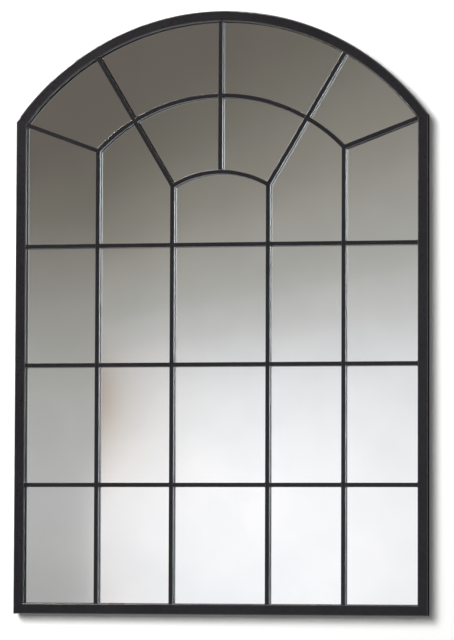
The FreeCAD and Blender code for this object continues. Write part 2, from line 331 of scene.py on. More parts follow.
@dataclass(frozen=True)
class ZincPlate(Finish):
    """Steel pressed from sheet or bent from wire, zinc plated and clear passivated.

    It gives the eye a cool grey metal with fine spangle and rubbed streaks.
    """

    name: str = "zinc_plate_on_steel"
    tones: Stops = ((0.1, "#a2a7ae"), (0.9, "#c9ccd0"))
    spangle_mm: float = 1.6
    streak: Grain = Grain(0.9, detail=4.0)
    streak_lay: Triple = (1.0, 1.0, 0.12)
    streak_span: Pair = (0.3, 0.7)
    streak_depth_mm: float = 0.02
    streak_strength: float = 0.15
    roughness: Pair = (0.24, 0.44)

    def draw(self, tree: NodeTree, shader: Node) -> None:
        """Lay spangle in the colour and streaks in the roughness.

        Args:
            tree: the material's node tree.
            shader: its principled shader.
        """
        place = add_node(tree, "TexCoord").outputs["Object"]
        spangle = add_node(tree, "TexVoronoi", {"Vector": place, "Scale": per_metre(self.spangle_mm)})
        tone = add_node(tree, "ValToRGB", {"Fac": spangle.outputs["Color"]}, self.tones)
        drawn = add_node(tree, "Mapping", {"Vector": place, "Scale": self.streak_lay})
        streak = add_node(tree, "TexNoise", self.streak.inputs(drawn.outputs["Vector"]))
        rough = add_node(tree, "MapRange",
                         {"Value": streak, "From Min": self.streak_span[0], "From Max": self.streak_span[1],
                          "To Min": self.roughness[0], "To Max": self.roughness[1]})
        bump = add_node(tree, "Bump", {"Height": streak, "Strength": self.streak_strength,
                                       "Distance": self.streak_depth_mm * MM})
        feed(tree, shader, {"Base Color": tone, "Metallic": 1.0, "Roughness": rough, "Normal": bump})


@dataclass(frozen=True)
class Fibreboard(Finish):
    """Medium density fibreboard, sanded: a tan face of short matted fibres with darker flecks.

    The fibres are a few tenths of a millimetre wide in truth, and are drawn coarser so that they show.
    """

    name: str = "sanded_fibreboard"
    tones: Stops = ((0.5, "#9d7f59"), (0.8, "#b0926a"))
    fibre: Grain = Grain(3.0, detail=8.0, roughness=0.7, distortion=0.6)
    fibre_lay: Triple = (0.7, 1.0, 1.0)
    fibre_depth_mm: float = 0.15
    fibre_strength: float = 0.3
    cloud: Grain = Grain(80.0, detail=3.0)
    cloud_share: float = 0.3
    fleck: Grain = Grain(4.0, detail=5.0, roughness=0.8)
    fleck_colour: str = "#7d6243"
    fleck_span: Pair = (0.62, 0.75)
    fleck_share: float = 0.5
    roughness: float = 0.78
    specular: float = 0.3

    def draw(self, tree: NodeTree, shader: Node) -> None:
        """Mat the fibres, cloud them and scatter flecks.

        Args:
            tree: the material's node tree.
            shader: its principled shader.
        """
        place = add_node(tree, "TexCoord").outputs["Object"]
        laid = add_node(tree, "Mapping", {"Vector": place, "Scale": self.fibre_lay}).outputs["Vector"]
        fibre = add_node(tree, "TexNoise", self.fibre.inputs(laid))
        cloud = add_node(tree, "TexNoise", self.cloud.inputs(place))
        both = add_node(tree, "Math", {0: cloud, 1: self.cloud_share, 2: fibre}, operation="MULTIPLY_ADD")
        tone = add_node(tree, "ValToRGB", {"Fac": both}, self.tones)
        fleck = add_node(tree, "TexNoise", self.fleck.inputs(laid))
        mask = add_node(tree, "MapRange", {"Value": fleck, "From Min": self.fleck_span[0],
                                           "From Max": self.fleck_span[1], "To Max": self.fleck_share})
        colour = add_node(tree, "Mix", {"Factor": mask, "A": tone, "B": linear(self.fleck_colour)},
                          data_type="RGBA")
        bump = add_node(tree, "Bump", {"Height": fibre, "Strength": self.fibre_strength,
                                       "Distance": self.fibre_depth_mm * MM})
        feed(tree, shader, {"Base Color": colour, "Roughness": self.roughness,
                            "Specular IOR Level": self.specular, "Normal": bump})


@dataclass(frozen=True)
class Mottled(Finish):
    """A finish that one pattern mottles from a dark tone to a pale one, and dimples where it has a depth."""

    tones: Stops
    grain: Grain
    roughness: float
    specular: float = 0.5
    metallic: float = 0.0
    depth_mm: float = 0.0
    strength: float = 1.0

    def pattern(self, tree: NodeTree) -> Node:
        """The pattern that mottles the finish: uneven lumps."""
        place = add_node(tree, "TexCoord").outputs["Object"]
        return add_node(tree, "TexNoise", self.grain.inputs(place))

    def draw(self, tree: NodeTree, shader: Node) -> None:
        """Drive the colour and the dimples by the pattern.

        Args:
            tree: the material's node tree.
            shader: its principled shader.
        """
        pattern = self.pattern(tree)
        tone = add_node(tree, "ValToRGB", {"Fac": pattern}, self.tones)
        feed(tree, shader, {"Base Color": tone, "Roughness": self.roughness, "Metallic": self.metallic,
                            "Specular IOR Level": self.specular})
        if self.depth_mm:
            bump = add_node(tree, "Bump", {"Height": pattern, "Strength": self.strength,
                                           "Distance": self.depth_mm * MM})
            feed(tree, shader, {"Normal": bump})


@dataclass(frozen=True)
class EdgeSeal(Mottled):
    """Lacquer brushed on the ground edge to keep damp from the silver: a dull dark rim with brush marks."""

    name: str = "lacquer_on_ground_edge"
    tones: Stops = ((0.35, "#1b1d1d"), (0.7, "#2d3030"))
    grain: Grain = Grain(3.0, detail=4.0)
    roughness: float = 0.6
    specular: float = 0.2


@dataclass(frozen=True)
class Silvering(Mottled):
    """Silver laid wet on the back of the glass: a clean mirror, with faint clouds in its brightness."""

    name: str = "silver_on_glass"
    tones: Stops = ((0.35, "#f2f2f2"), (0.65, "#f8f7f7"))
    grain: Grain = Grain(140.0, detail=3.0)
    roughness: float = 0.0
    metallic: float = 1.0


@dataclass(frozen=True)
class CellFoam(Mottled):
    """Closed-cell foam in black, skived to a sheet: a dull face pricked by cut cells."""

    name: str = "closed_cell_foam"
    tones: Stops = ((0.0, "#121213"), (0.6, "#242426"))
    grain: Grain = Grain(1.1)
    roughness: float = 0.9
    specular: float = 0.2
    depth_mm: float = 0.1
    strength: float = 0.5

    def pattern(self, tree: NodeTree) -> Node:
        """The pattern that mottles the foam: round cells."""
        place = add_node(tree, "TexCoord").outputs["Object"]
        return add_node(tree, "TexVoronoi", {"Vector": place, "Scale": per_metre(self.grain.size_mm)})


@dataclass(frozen=True)
class MouldedRubber(Mottled):
    """Black rubber, moulded: a soft dull face, greyer where it has been handled."""

    name: str = "moulded_rubber"
    tones: Stops = ((0.3, "#161617"), (0.75, "#2b2b2c"))
    grain: Grain = Grain(4.0, detail=6.0, roughness=0.65)
    roughness: float = 0.62
    depth_mm: float = 0.05
    strength: float = 0.2


def bridge(work: BMesh, first: Sequence[BMVert], second: Sequence[BMVert], number: int = 0) -> None:
    """Join two rings of points by a band of faces.

    Args:
        work: the shape that holds them.
        first: one ring, or a single point.
        second: the other, with as many points, or a single one.
        number: the number of the band's finish.
    """
    count = max(len(first), len(second))
    for i in range(count):
        j = (i + 1) % count
        corners = (first[i % len(first)], first[j % len(first)],
                   second[j % len(second)], second[i % len(second)])
        work.faces.new(list(dict.fromkeys(corners))).material_index = number


def mesh_piece(name: str, work: BMesh, finishes: Sequence[Finish]) -> Object:
    """Turn a finished bmesh into an object.

    Args:
        name: the piece's name.
        work: the shape, which is freed.
        finishes: one for each material number that its faces use.

    Returns:
        The new object, linked to the scene.
    """
    bmesh.ops.recalc_face_normals(work, faces=work.faces)
    mesh = bpy.data.meshes.new(name)
    work.to_mesh(mesh)
    work.free()
    for finish in finishes:
        mesh.materials.append(finish.material())
    mesh.shade_smooth()
    mesh.set_sharp_from_angle(angle=math.radians(SMOOTH_ANGLE))
    made = bpy.data.objects.new(name, mesh)
    bpy.context.scene.collection.objects.link(made)
    return made


def carry(piece: Object, slot: Slot, *nodes: str) -> None:
    """Let a new piece ride on the frame and stand for CAD nodes.

    Args:
        piece: the new piece.
        slot: the record's slot that its finish is from; not used.
        nodes: the CAD nodes that it stands for.
    """
    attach(piece, Body.FRAME.value)
    if nodes:
        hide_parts(*nodes)
    LOG.info("%s: %d faces, stands for %s", piece.name, len(piece.data.polygons), list(nodes) or "nothing")


@dataclass
class Outline:
    """The front view of the mirror, in millimetres above and beside the middle of its lower edge."""

    width: float = 800.0
    shoulder_height: float = 946.0
    arch_rise: float = 205.8
    frame_face: float = 20.0
    bar_width: float = 8.0
    middle_radius_share: float = 0.6976
    inner_radius_share: float = 0.387
    middle_angle: float = 46.5
    inner_angle: float = 30.6
    crossbar_shares: tuple[float, ...] = (0.3014, 0.5815, 0.8613)
    head_radius: float = field(init=False)
    centre: Vector = field(init=False)
    base: float = field(init=False)

    def __post_init__(self) -> None:
        """Work out the head's arc, and where the lower edge lies in the CAD frame."""
        half = self.width / 2
        self.head_radius = (half ** 2 + self.arch_rise ** 2) / (2 * self.arch_rise)
        self.centre = Vector((0, self.shoulder_height + self.arch_rise - self.head_radius))
        self.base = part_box("bottom_rail")[0].z

    def opening_radius(self) -> float:
        """The radius of the head's inner edge."""
        return self.head_radius - self.frame_face

    def on_arch(self, radius: float, angle: float) -> Vector:
        """The point of an arch at an angle from the middle line, positive to the right."""
        turn = math.radians(angle)
        return self.centre + Vector((math.sin(turn), math.cos(turn))) * radius

    def shoulder(self, inset: float) -> Vector:
        """The right shoulder of the outline, moved in by inset."""
        x = self.width / 2 - inset
        return Vector((x, self.centre.y + math.sqrt((self.head_radius - inset) ** 2 - x ** 2)))

    def loop(self, inset: float, segments: int) -> list[Vector]:
        """The whole outline moved in by inset.

        Args:
            inset: how far in.
            segments: how many chords the head's arc has.

        Returns:
            The points in order, from the lower left corner to the right and round.
        """
        right = self.shoulder(inset)
        limit = math.degrees(math.asin(right.x / (self.head_radius - inset)))
        arc = [self.on_arch(self.head_radius - inset, limit - 2 * limit * i / segments)
               for i in range(segments + 1)]
        return [Vector((-right.x, inset)), Vector((right.x, inset)), *arc]

    def place(self, spot: Vector, depth: float) -> Vector:
        """A point of the front view in the CAD frame, at a depth in metres."""
        return Vector((spot.x * MM, depth, self.base + spot.y * MM))


class SubAssembly:
    """Pieces that go together. A kind of sub-assembly names the finish of each of its slots."""

    finishes: ClassVar[dict[Slot, Finish]] = {}

    def dress(self) -> None:
        """Give every CAD node of the sub-assembly's slots its finish."""
        for row in frame["record"]["subparts"]:
            finish = self.finishes.get(Slot(row["material_slot"]))
            if finish is not None:
                mesh = frame["nodes"][row["node"]].data
                mesh.materials.clear()
                mesh.materials.append(finish.material())
                LOG.info("%s: %s", row["node"], finish.name)

    def build(self) -> None:
        """Build the pieces that the CAD doesn't have."""
        raise NotImplementedError


@dataclass
class Glazing(SubAssembly):
    """The mirror sheet with its silvered back and its ground arris, and the foam and board behind it."""

    finishes: ClassVar[dict[Slot, Finish]] = {
        Slot.GLASS: Silvering(), Slot.FOAM: CellFoam(), Slot.BOARD: Fibreboard()}

    outline: Outline
    arris: float = 0.6
    clearance: float = 0.1
    segments: int = 180

    def build(self) -> None:
        """Build the slab just inside the CAD's sheet, clear of the tape and foam that touch it."""
        low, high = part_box("mirror_glass")
        front, rear = low.y + self.clearance * MM, high.y - self.clearance * MM
        edge = self.outline.width / 2 - high.x / MM
        step = self.arris * MM
        rings = [(edge + self.arris, front), (edge, front + step),
                 (edge, rear - step), (edge + self.arris, rear)]
        work = bmesh.new()
        loops = []
        for inset, depth in rings:
            spots = self.outline.loop(inset, self.segments)
            loops.append([work.verts.new(self.outline.place(spot, depth)) for spot in spots])
        for first, second in zip(loops, loops[1:]):
            bridge(work, first, second, SheetFace.EDGE.value)
        work.faces.new(loops[0]).material_index = SheetFace.FRONT.value
        work.faces.new(loops[-1]).material_index = SheetFace.BACK.value
        layers = (FloatGlass(), self.finishes[Slot.GLASS], EdgeSeal())
        carry(mesh_piece("mirror_sheet", work, layers), Slot.GLASS, "mirror_glass")


@dataclass
class SteelGrille(SubAssembly):
    """The coated frame and bars, with small ground fillets of weld in the corners where the bars meet."""

    finishes: ClassVar[dict[Slot, Finish]] = {Slot.COAT: PowderCoat()}

    outline: Outline
    weld_radius: float = 1.7
    weld_bite: float = 0.25
    weld_drop: float = 0.45
    arc_steps: int = 6
    straight_limit: float = 165.0
    front: float = field(init=False)
    back: float = field(init=False)
    work: BMesh = field(init=False)

    def __post_init__(self) -> None:
        """Take the bars' depth from the CAD."""
        low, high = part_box("centre_spoke")
        self.front = low.y + self.weld_drop * MM
        self.back = high.y
        self.work = bmesh.new()

    def fillet(self, corner: Vector, first: Vector, second: Vector) -> None:
        """Fill one corner.

        Args:
            corner: where the two sides meet in the front view.
            first: the unit way along one side, away from the corner.
            second: the unit way along the other side.
        """
        middle = (first + second).normalized()
        half = first.angle(second) / 2
        if math.degrees(half) * 2 > self.straight_limit:
            return
        reach = self.weld_radius / math.tan(half)
        hub = corner + middle * (self.weld_radius / math.sin(half))
        start, end = corner + first * reach - hub, corner + second * reach - hub
        turn = start.angle_signed(end)
        arc = [hub + Matrix.Rotation(-turn * i / self.arc_steps, 2) @ start
               for i in range(self.arc_steps + 1)]
        buried = [arc[-1] - (hub - arc[-1]).normalized() * self.weld_bite,
                  corner - middle * self.weld_bite * 2,
                  arc[0] - (hub - arc[0]).normalized() * self.weld_bite]
        fronts, backs = ([self.work.verts.new(self.outline.place(spot, depth)) for spot in arc + buried]
                         for depth in (self.front, self.back))
        self.work.faces.new(fronts)
        self.work.faces.new(backs)
        bridge(self.work, fronts, backs)

    def junction(self, spot: Vector, angles: Sequence[float]) -> None:
        """Fill the corners round a spot where bars meet.

        Args:
            spot: where their middle lines meet.
            angles: the way that each bar leaves, in degrees from X towards Z.
        """
        turns = sorted(angle % 360 for angle in angles)
        for here, there in zip(turns, turns[1:] + [turns[0] + 360]):
            ways = [Vector((math.cos(math.radians(t)), math.sin(math.radians(t)))) for t in (here, there)]
            half = math.radians(there - here) / 2
            if there - here > self.straight_limit:
                continue
            corner = spot + (ways[0] + ways[1]).normalized() * (self.outline.bar_width / 2 / math.sin(half))
            self.fillet(corner, ways[0], ways[1])

    def landing(self, spot: Vector, bar: Vector, edges: Sequence[Vector]) -> None:
        """Fill the two corners where a bar lands on the frame's inner edge.

        Args:
            spot: where the bar's middle line meets that edge.
            bar: the unit way along the bar, away from the frame.
            edges: the two unit ways along the edge, away from the spot.
        """
        for edge in edges:
            corner = spot + edge * (self.outline.bar_width / 2 / math.sin(edge.angle(bar)))
            self.fillet(corner, edge, bar)

    def half(self, side: int, middle_radius: float, inner_radius: float) -> None:
        """Fill the corners of one half of the grille.

        Args:
            side: -1 for the left half, 1 for the right one.
            middle_radius: the radius of the middle arch.
            inner_radius: the radius of the inner arch.
        """
        view = self.outline
        up, across = Vector((0, 1)), Vector((1, 0))
        outer = view.on_arch(middle_radius, side * view.middle_angle)
        inner = view.on_arch(inner_radius, side * view.inner_angle)
        levels = [inner.y * share for share in view.crossbar_shares]
        opening = side * (view.width / 2 - view.frame_face)
        shoulder = view.shoulder(view.frame_face)
        corner = Vector((shoulder.x * side, shoulder.y))
        radial = (inner - view.centre).normalized()
        tangent = Vector((radial.y, -radial.x))
        spoke = 90 - side * view.inner_angle
        outward = corner - outer
        from_centre = (corner - view.centre).normalized()
        along_head = Vector((-from_centre.y, from_centre.x)) * side
        for x in (outer.x, inner.x):
            self.landing(Vector((x, view.frame_face)), up, (across, -across))
            for level in levels:
                self.junction(Vector((x, level)), CROSSING)
        for level in levels:
            self.landing(Vector((opening, level)), across * -side, (up, -up))
        self.junction(outer, (-90, math.degrees(math.atan2(outward.y, outward.x)),
                              90 + side * (90 - view.middle_angle)))
        self.junction(inner, (-90, spoke, 90 + side * (90 - view.inner_angle)))
        self.junction(view.on_arch(middle_radius, side * view.inner_angle),
                      [spoke + turn for turn in CROSSING])
        self.landing(view.centre + radial * view.opening_radius(), -radial, (tangent, -tangent))
        self.landing(corner, -outward.normalized(), (-up, along_head))

    def build(self) -> None:
        """Fill every corner of the grille."""
        view = self.outline
        up, across = Vector((0, 1)), Vector((1, 0))
        middle_radius = view.opening_radius() * view.middle_radius_share
        inner_radius = view.opening_radius() * view.inner_radius_share
        self.junction(view.on_arch(inner_radius, 0), TEE)
        self.junction(view.on_arch(middle_radius, 0), CROSSING)
        self.landing(view.on_arch(view.opening_radius(), 0), -up, (across, -across))
        for side in LEFT_AND_RIGHT:
            self.half(side, middle_radius, inner_radius)
        carry(mesh_piece("weld_fillets", self.work, (self.finishes[Slot.COAT],)), Slot.COAT)


@dataclass
class CrossHeadScrews:
    """Pan-head screws with a cross recess and a cut thread, in place of a CAD group of screws."""

    node: str
    spots: Sequence[Vector]
    plate: Finish
    head_radius: float = 3.5
    head_height: float = 2.0
    crown: float = 0.55
    crown_share: float = 0.88
    crown_angles: tuple[float, ...] = (20.0, 40.0, 60.0, 78.0)
    rim_share: float = 0.97
    rim_drops: Pair = (0.15, 0.5)
    shank_radius: float = 1.75
    length: float = 9.0
    thread_pitch: float = 1.1
    thread_depth: float = 0.35
    thread_flank: float = 0.3
    tip: float = 1.8
    recess_length: float = 4.0
    recess_width: float = 0.95
    recess_depth: float = 1.15
    recess_taper: float = 0.45
    recess_slope: float = 0.3
    recess_overrun: float = 1.0
    segments: int = 40
    turn_step: float = 37.0

    def profile(self) -> list[Pair]:
        """The screw's half section, from the crown to the point.

        Returns:
            Its points as (radius, height over the seat).
        """
        rim = self.head_height - self.crown
        root = self.shank_radius - self.thread_depth
        turns = [math.radians(angle) for angle in self.crown_angles]
        points = [(0.0, self.head_height)]
        points += [(self.head_radius * self.crown_share * math.sin(turn), rim + self.crown * math.cos(turn))
                   for turn in turns]
        points += [(self.head_radius * self.rim_share, rim - self.rim_drops[0]),
                   (self.head_radius, rim - self.rim_drops[1]), (self.head_radius, 0.0),
                   (self.shank_radius, 0.0)]
        depth = self.thread_pitch
        while depth < self.length - self.tip:
            points += [(self.shank_radius, -depth), (root, -depth - self.thread_flank),
                       (root, -depth - self.thread_pitch + self.thread_flank)]
            depth += self.thread_pitch
        return points + [(0.0, -self.length)]

    def turned(self) -> BMesh:
        """Turn the half section about Y.

        Returns:
            The screw without its cross.
        """
        work = bmesh.new()
        angles = [2 * math.pi * i / self.segments for i in range(self.segments)]
        rings = []
        for radius, height in self.profile():
            rings.append([work.verts.new((radius * MM * math.cos(a), height * MM, radius * MM * math.sin(a)))
                          for a in (angles if radius else (0.0,))])
        for first, second in zip(rings, rings[1:]):
            bridge(work, first, second)
        return work

    def cutter(self) -> BMesh:
        """Make the blades that cut the cross.

        Returns:
            Two tapered blades, a quarter turn apart.
        """
        work = bmesh.new()
        top = self.head_height + self.recess_overrun
        floor = self.head_height - self.recess_depth
        for quarter in (0, 1):
            made = bmesh.ops.create_cube(work, size=1.0)["verts"]
            for vert in made:
                taper = 1.0 if vert.co.y > 0 else self.recess_taper
                vert.co.x *= self.recess_length * taper * MM
                vert.co.z *= self.recess_width * (1 - self.recess_slope + self.recess_slope * taper) * MM
                vert.co.y = (top if vert.co.y > 0 else floor) * MM
            bmesh.ops.rotate(work, verts=made, matrix=Matrix.Rotation(math.pi / 2 * quarter, 3, "Y"))
        return work

    def one(self) -> Mesh:
        """Cut the cross into a turned screw.

        Returns:
            The whole screw, at the origin.
        """
        solid = mesh_piece(self.node + "_blank", self.turned(), (self.plate,))
        blade = mesh_piece(self.node + "_blade", self.cutter(), (self.plate,))
        cut = solid.modifiers.new("cross", "BOOLEAN")
        cut.object = blade
        cut.operation = "DIFFERENCE"
        cut.solver = "EXACT"
        cut.use_self = True
        bpy.context.view_layer.update()
        shaped = solid.evaluated_get(bpy.context.evaluated_depsgraph_get())
        mesh = bpy.data.meshes.new_from_object(shaped)
        for helper in (solid, blade):
            bpy.data.objects.remove(helper)
        return mesh

    def build(self) -> None:
        """Set a screw at each spot, each turned to its own angle."""
        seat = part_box(self.node)[1].y - self.head_height * MM
        single = self.one()
        work = bmesh.new()
        for index, spot in enumerate(self.spots):
            before = len(work.verts)
            work.from_mesh(single)
            work.verts.ensure_lookup_table()
            turn = Matrix.Rotation(math.radians(self.turn_step * index), 4, "Y")
            shift = Matrix.Translation(Vector((spot.x, seat, spot.z)))
            bmesh.ops.transform(work, matrix=shift @ turn, verts=work.verts[before:])
        bpy.data.meshes.remove(single)
        carry(mesh_piece(self.node + "_cross_head", work, (self.plate,)), Slot.ZINC, self.node)


@dataclass
class BackHardware(SubAssembly):
    """What holds the mirror together and up: turn buttons, hangers, their screws, and the rubber pieces."""

    finishes: ClassVar[dict[Slot, Finish]] = {Slot.ZINC: ZincPlate(), Slot.RUBBER: MouldedRubber()}

    strap_screw_drops: tuple[float, ...] = (28.0, 39.0)

    def pivots(self, part: str) -> list[Vector]:
        """Where the joints whose name starts with part have their axis."""
        return [Vector(joint["pos_m"]) for joint in frame["joints"] if joint["name"].startswith(part)]

    def build(self) -> None:
        """Set the screws of the turn buttons and of the hangers."""
        fixings = [ring - Vector((0, 0, drop * MM)) for ring in self.pivots("hanger_ring")
                   for drop in self.strap_screw_drops]
        for node, spots in (("turn_button_screws", self.pivots("turn_button")), ("hanger_screws", fixings)):
            CrossHeadScrews(node, spots, self.finishes[Slot.ZINC]).build()


@dataclass(frozen=True)
class StageColour:
    """A matt stage surface that the camera sees a little brighter than its light makes it."""

    name: str
    colour: str
    lift: float
    one_sided: bool = False

    def material(self) -> Material:
        """Make the stage paint: diffuse, plus a lift that only the camera sees.

        Returns:
            The material.
        """
        made, tree = blank_material(self.name)
        ray = add_node(tree, "LightPath")
        matt = add_node(tree, "BsdfDiffuse", {"Color": linear(self.colour)})
        lift = add_node(tree, "Math", {0: ray.outputs["Is Camera Ray"], 1: self.lift}, operation="MULTIPLY")
        glow = add_node(tree, "Emission", {"Strength": lift})
        surface = add_node(tree, "AddShader", {0: matt, 1: glow})
        if self.one_sided:
            side = add_node(tree, "NewGeometry").outputs["Backfacing"]
            clear = add_node(tree, "BsdfTransparent")
            surface = add_node(tree, "MixShader", {0: side, 1: surface, 2: clear})
        add_node(tree, "OutputMaterial", {"Surface": surface})
        return made


@dataclass
class SeenFlat:
    """A flat in front of the mirror, which only glossy and clear surfaces see.

    Its light is laid out by the seen x and z: the place on the mirror's face, in metres, where the viewer
    sees it. Heights are over the mirror's lower edge.
    """

    name: str
    distance: float
    span: Pair
    strength: float
    ceiling_rise: Pair
    viewer: Triple = (1.392, 7.254, 0.112)
    reach: float = 1.5

    def shares(self, stops: Stops) -> Stops:
        """The stops with their heights as shares of the reach."""
        return tuple((height / self.reach, code) for height, code in stops)

    def places(self, tree: NodeTree) -> list[NodeSocket]:
        """Find the place of a point on the flat, and where the viewer sees it.

        Args:
            tree: the material's node tree.

        Returns:
            The seen x and z, and then the flat's own x and z.
        """
        spread = 1 + self.distance / self.viewer[1]
        shift = (spread - 1) / spread
        spot = add_node(tree, "TexCoord").outputs["Object"]
        seen = add_node(tree, "Mapping",
                        {"Vector": spot, "Location": (self.viewer[0] * shift, 0.0, self.viewer[2] * shift),
                         "Scale": (1 / spread, 1.0, 1 / spread)})
        parts = [add_node(tree, "SeparateXYZ", {0: place}) for place in (seen, spot)]
        return [part.outputs[axis] for part in parts for axis in ("X", "Z")]


@dataclass
class StudioFlats(SeenFlat):
    """The pale flats of the studio, which the mirror shows.

    Their light fades upward, more slowly towards the right, and dims a little at the lower right. A
    duller flat stands at the left, and its edge throws a soft warm shade on the one beside it, which
    glows on the dull one low down. Above them all is a dark ceiling.
    """

    name: str = "studio_flats"
    distance: float = 2.5
    span: Pair = (-3.5, 0.05)
    strength: float = 1.13
    ceiling_rise: Pair = (1.50, 1.70)
    ceiling: str = "#2b2926"
    fade_height: float = 0.44
    fan: float = 1.05
    fan_limit: float = 0.3
    edge: float = -0.2396
    shade_reach: float = 0.097
    shade_tint: str = "#845f00"
    dull_top: Pair = (0.78, 0.90)
    glow_fall: Pair = (0.36, 0.18)
    glow_share: float = 0.28
    glow_power: float = 4.0
    dim_right: Pair = (0.16, 0.37)
    dim_below: Pair = (0.50, 0.40)
    dim_share: float = 0.055
    light_stops: Stops = (
        (0.04, "#f3f4f7"), (0.20, "#f9f9fb"), (0.33, "#f3f4f6"), (0.44, "#e2e3e5"), (0.52, "#c9c9c9"),
        (0.60, "#adada9"), (0.75, "#908d86"), (0.90, "#76736b"), (1.10, "#656059"))
    dull_stops: Stops = (
        (0.05, "#a9a9a8"), (0.20, "#b3b3b2"), (0.33, "#aeaeac"), (0.44, "#a5a5a1"), (0.60, "#918f8a"),
        (0.75, "#75726a"), (0.95, "#65615b"))
    shade_stops: Stops = (
        (0.05, "#909090"), (0.20, "#7e7e7e"), (0.27, "#a6a6a6"), (0.34, "#c7c7c7"), (0.43, "#d6d6d6"),
        (0.52, "#949494"), (0.62, "#3c3c3c"))

    def fade(self, tree: NodeTree, x: NodeSocket, z: NodeSocket) -> Node:
        """Find how far up its fading the light is, which goes more slowly towards the right.

        Args:
            tree: the material's node tree.
            x: the seen x.
            z: the seen z.

        Returns:
            A node that gives a share of the reach.
        """
        fan = add_node(tree, "Math", {0: x, 1: self.fan, 2: 1.0}, operation="MULTIPLY_ADD")
        fan = add_node(tree, "Math", {0: fan, 1: self.fan_limit}, operation="MAXIMUM")
        rise = add_node(tree, "Math", {0: z, 1: self.fade_height}, operation="SUBTRACT")
        rise = add_node(tree, "Math", {0: rise, 1: fan}, operation="DIVIDE")
        return add_node(tree, "Math", {0: rise, 1: 1 / self.reach, 2: self.fade_height / self.reach},
                        operation="MULTIPLY_ADD")

    def material(self) -> Material:
        """Make the flats' light.

        Returns:
            The material.
        """
        made, tree = blank_material(self.name)
        x, z, _, height = self.places(tree)
        fades = ((z, self.glow_fall, self.glow_share), (z, self.dull_top, 1.0),
                 (height, self.ceiling_rise, 1.0), (x, self.dim_right, 1.0),
                 (z, self.dim_below, -self.dim_share * self.strength))
        low, over, above, right, below = (
            add_node(tree, "MapRange", {"Value": value, "From Min": start, "From Max": end, "To Max": most},
                     interpolation_type="SMOOTHSTEP") for value, (start, end), most in fades)
        level = add_node(tree, "Math", {0: z, 1: self.reach}, operation="DIVIDE")
        ramps = ((self.fade(tree, x, z), self.light_stops), (level, self.dull_stops),
                 (level, self.shade_stops))
        light, dull, depth = (add_node(tree, "ValToRGB", {"Fac": at}, self.shares(stops))
                              for at, stops in ramps)
        for ramp in (light, dull, depth):
            ramp.color_ramp.interpolation = "CARDINAL"

        past = add_node(tree, "Math", {0: x, 1: self.edge}, operation="SUBTRACT")
        away = add_node(tree, "Math", {0: past}, operation="ABSOLUTE")
        away = add_node(tree, "Math", {0: away, 1: -1 / self.shade_reach}, operation="MULTIPLY")
        fall = add_node(tree, "Math", {0: away}, operation="EXPONENT")
        shade = add_node(tree, "Math", {0: depth, 1: fall}, operation="MULTIPLY")
        light = add_node(tree, "Mix", {"Factor": shade, "A": light, "B": linear(self.shade_tint)},
                         data_type="RGBA", blend_type="MULTIPLY")
        near = add_node(tree, "Math", {0: fall, 1: self.glow_power}, operation="POWER")
        near = add_node(tree, "Math", {0: low, 1: near}, operation="MULTIPLY")
        beside = add_node(tree, "Math", {0: past, 1: 0.0}, operation="GREATER_THAN")
        beside = add_node(tree, "Math", {0: beside, 1: over}, operation="MAXIMUM")
        flats = dull
        for share, colour in ((near, WHITE), (beside, light), (above, linear(self.ceiling))):
            flats = add_node(tree, "Mix", {"Factor": share, "A": flats, "B": colour}, data_type="RGBA")
        power = add_node(tree, "Math", {0: right, 1: below, 2: self.strength}, operation="MULTIPLY_ADD")
        glow = add_node(tree, "Emission", {"Color": flats, "Strength": power})
        add_node(tree, "OutputMaterial", {"Surface": glow})
        return made


@dataclass
class WindowFlat(SeenFlat):
    """A bright flat far back to the right, between dim ones. The bars' sides show it by way of the mirror."""

    name: str = "window_flat"
    distance: float = 5.0
    span: Pair = (-0.6, 6.0)
    strength: float = 10.0
    ceiling_rise: Pair = (1.86, 2.1)
    ceiling_share: float = 0.01
    bright_from: Pair = (0.36, 0.50)
    bright_to: Pair = (0.92, 1.06)
    dim_left: float = 0.45
    dim_right: float = 0.25
    bright_stops: Stops = (
        (0.05, "#989ea2"), (0.16, "#a7adb1"), (0.39, "#d3d8db"), (0.62, "#d9dee1"), (0.78, "#e4eaec"),
        (0.93, "#dae0e2"), (1.04, "#a6acaf"), (1.10, "#a4aaad"))

    def material(self) -> Material:
        """Make the flat's light.

        Returns:
            The material.
        """
        made, tree = blank_material(self.name)
        _, z, across, height = self.places(tree)
        level = add_node(tree, "Math", {0: z, 1: self.reach}, operation="DIVIDE")
        tone = add_node(tree, "ValToRGB", {"Fac": level}, self.shares(self.bright_stops))
        tone.color_ramp.interpolation = "CARDINAL"
        fades = ((across, self.bright_from, self.dim_left, self.strength),
                 (across, self.bright_to, 1.0, self.dim_right / self.strength),
                 (height, self.ceiling_rise, 1.0, self.ceiling_share))
        rise, fall, above = (
            add_node(tree, "MapRange", {"Value": value, "From Min": start, "From Max": end, "To Min": before,
                                        "To Max": after}, interpolation_type="SMOOTHSTEP")
            for value, (start, end), before, after in fades)
        power = add_node(tree, "Math", {0: rise, 1: fall}, operation="MULTIPLY")
        power = add_node(tree, "Math", {0: power, 1: above}, operation="MULTIPLY")
        glow = add_node(tree, "Emission", {"Color": tone, "Strength": power})
        add_node(tree, "OutputMaterial", {"Surface": glow})
        return made


@dataclass(frozen=True)
class PlainGlow:
    """An even glow, or the black of a flag where its strength is nothing."""

    name: str
    strength: float

    def material(self) -> Material:
        """Make the glow.

        Returns:
            The material.
        """
        made, tree = blank_material(self.name)
        glow = add_node(tree, "Emission", {"Strength": self.strength})
        add_node(tree, "OutputMaterial", {"Surface": glow})
        return made


def upright(across: Sequence[float], heights: Sequence[float]) -> list[Vector]:
    """The corners, in order, of an upright rectangle along X, from its two ends and its two heights."""
    return [Vector((across[i], 0, heights[j])) for i, j in ((0, 0), (1, 0), (1, 1), (0, 1))]


